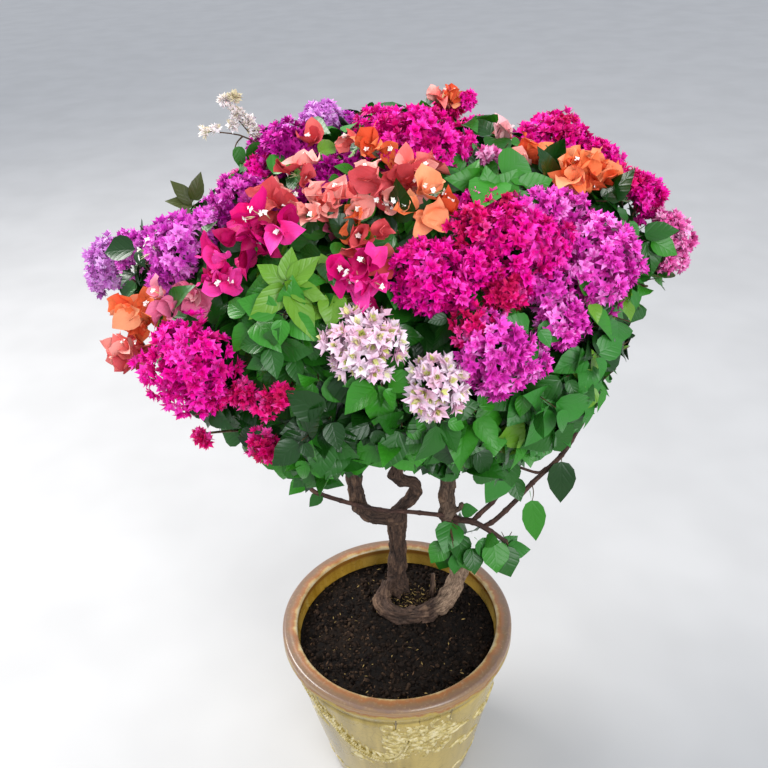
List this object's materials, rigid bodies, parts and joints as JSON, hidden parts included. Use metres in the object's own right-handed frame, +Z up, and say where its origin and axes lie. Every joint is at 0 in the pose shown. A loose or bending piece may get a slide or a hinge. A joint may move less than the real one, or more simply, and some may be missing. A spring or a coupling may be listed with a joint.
{
  "type": "bougainvillea bush",
  "caption": "Potted bougainvillea bush: bare trunks rise from an old root in a soil-filled glazed pot and carry a wide rounded crown of leaves and blossom in several colours.",
  "frame": {"origin": "middle of the pot's flat underside, on the ground it stands on", "axes": "+Z up; -Y towards the side the picture was taken from; +X to the right as seen from there"},
  "size_m": [0.9253, 0.8227, 1.3033],
  "materials": {
    "pot_glaze": "satin",
    "soil": "matte",
    "bark": "matte",
    "leaves": "satin",
    "magenta_bracts": "matte",
    "purple_bracts": "matte",
    "pink_bracts": "matte",
    "white_bracts": "matte",
    "salmon_bracts": "matte"
  },
  "bodies": {
    "root": {"arm_left_high": "bark", "arm_left_low": "bark", "arm_twisted": "bark", "bough_back_centre": "bark", "bough_back_left": "bark", "bough_back_low_left": "bark", "bough_back_low_right": "bark", "bough_back_right": "bark", "bough_front_left": "bark", "bough_front_low": "bark", "bough_front_top": "bark", "bough_left_far": "bark", "bough_left_low": "bark", "bough_left_mid": "bark", "bough_left_top": "bark", "bough_right_far": "bark", "bough_right_front": "bark", "bough_right_low": "bark", "bough_right_top": "bark", "bough_top_centre": "bark", "bough_top_left": "bark", "bough_top_tip": "bark", "mass_back_centre": "magenta_bracts", "mass_back_left": "purple_bracts", "mass_back_low_left": "leaves", "mass_back_low_right": "leaves", "mass_back_right": "pink_bracts", "mass_front_left": "leaves", "mass_front_low": "white_bracts", "mass_front_top": "salmon_bracts", "mass_left_far": "purple_bracts", "mass_left_low": "magenta_bracts", "mass_left_mid": "purple_bracts", "mass_left_top": "purple_bracts", "mass_right_far": "pink_bracts", "mass_right_front": "magenta_bracts", "mass_right_low": "pink_bracts", "mass_right_top": "magenta_bracts", "mass_skirt_centre": "leaves", "mass_skirt_left": "leaves", "mass_skirt_right": "leaves", "mass_sprout_cluster": "leaves", "mass_sprout_tip": "leaves", "mass_top_centre": "magenta_bracts", "mass_top_left": "magenta_bracts", "mass_top_tip": "pink_bracts", "pot": "pot_glaze", "root_ring": "bark", "root_upright": "bark", "soil": "soil", "stem_crossing": "bark", "stem_inner": "bark", "stem_link": "bark", "stem_outer": "bark", "stem_rising": "bark", "stem_sprout": "bark", "trunk_centre": "bark", "trunk_right": "bark"}
  },
  "joints": []
}
